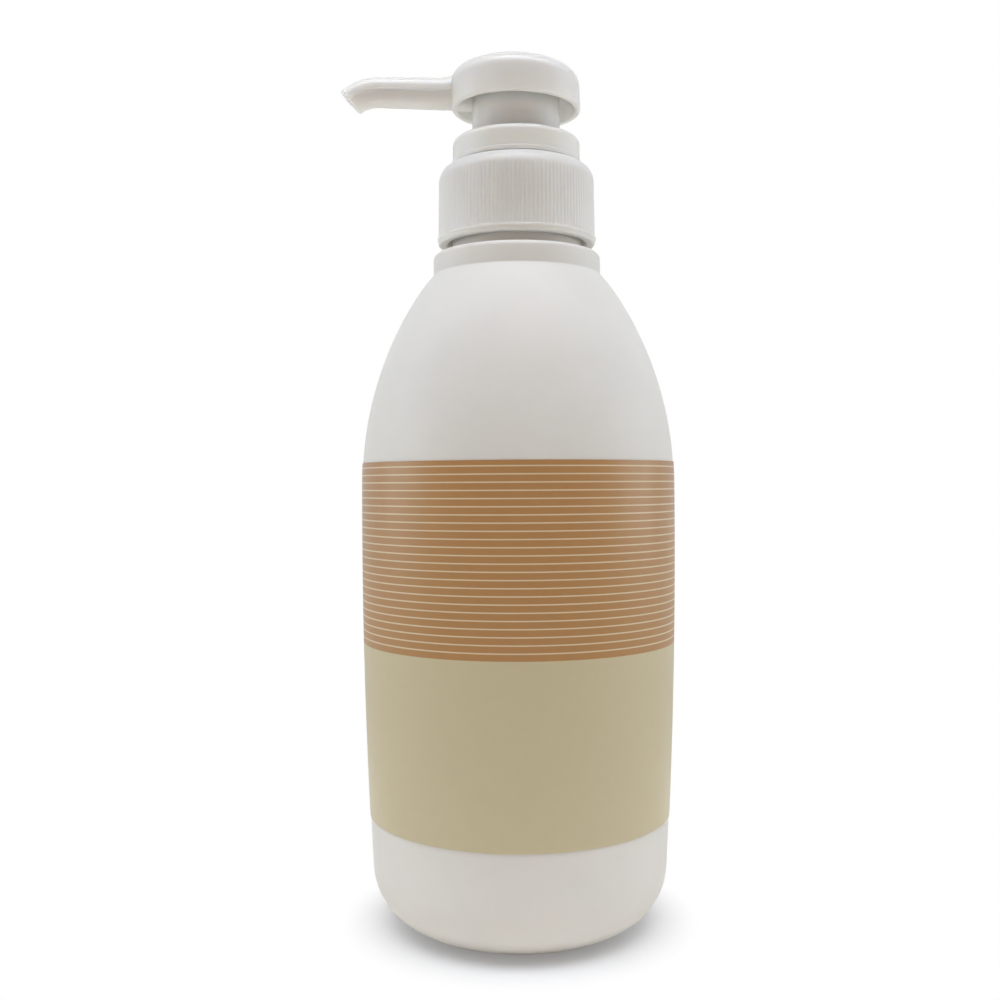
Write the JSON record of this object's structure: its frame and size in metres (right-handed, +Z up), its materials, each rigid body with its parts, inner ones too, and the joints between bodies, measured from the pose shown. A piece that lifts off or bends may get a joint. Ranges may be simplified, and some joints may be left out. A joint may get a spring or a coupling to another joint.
{
  "type": "pump oil bottle",
  "caption": "Round white plastic bottle with a striped wrap label, ribbed screw closure and a sprung lotion pump with a domed head and long beaked spout.",
  "frame": {"origin": "on the bottle's axis, in the plane of the foot ring that it stands on", "axes": "+Z up along the bottle's axis, -X along the spout at rest, -Y towards the front of the label"},
  "size_m": [0.0804, 0.0753, 0.2075],
  "materials": {
    "bottle_plastic": "satin white polyethylene",
    "label_film": "satin printed film, striped brown over beige",
    "closure_plastic": "satin white polypropylene",
    "pump_plastic": "smooth white polypropylene",
    "head_plastic": "smooth, slightly milky white polypropylene",
    "natural_plastic": "milky natural polypropylene",
    "piston_plastic": "soft polyethylene",
    "gasket_foam": "soft white foamed polyethylene",
    "spring_steel": "drawn stainless wire",
    "ball_steel": "polished stainless steel"
  },
  "bodies": {
    "bottle": {"bottle_body": "bottle_plastic", "wrap_label": "label_film"},
    "pump_body": {"pump_cylinder": "natural_plastic", "neck_gasket": "gasket_foam", "collar": "pump_plastic", "dip_tube": "natural_plastic", "valve_cage": "natural_plastic", "return_spring": "spring_steel"},
    "closure": {"screw_closure": "closure_plastic"},
    "piston": {"piston_seal": "piston_plastic"},
    "plunger": {"pump_head": "head_plastic", "stem": "natural_plastic", "piston_rod": "natural_plastic"},
    "inlet_valve": {"inlet_ball": "ball_steel"},
    "outlet_valve": {"outlet_ball": "ball_steel"}
  },
  "joints": [
    {"name": "closure_lift", "type": "slide", "parent": "bottle", "child": "pump_body", "axis": [0, 0, 1], "range_m": [0, 0.0084]},
    {"name": "closure_turn", "type": "hinge", "parent": "pump_body", "child": "closure", "pos_m": [0, 0, 0.172], "axis": [0, 0, 1], "range_deg": [0, 720]},
    {"name": "pump_stroke", "type": "slide", "parent": "pump_body", "child": "piston", "axis": [0, 0, -1], "range_m": [0, 0.0066], "stiffness_N_per_m": 700, "springref_m": -0.012, "deforming": ["return_spring"]},
    {"name": "head_swivel", "type": "hinge", "parent": "piston", "child": "plunger", "pos_m": [0, 0, 0.19], "axis": [0, 0, 1], "continuous": true},
    {"name": "inlet_ball_lift", "type": "slide", "parent": "pump_body", "child": "inlet_valve", "axis": [0, 0, 1], "range_m": [0, 0.0015]},
    {"name": "outlet_ball_lift", "type": "slide", "parent": "plunger", "child": "outlet_valve", "axis": [0, 0, 1], "range_m": [0, 0.0012]}
  ],
  "couplings": [
    {"joint": "closure_turn", "follows": "closure_lift", "rad_per_m": 1496}
  ]
}
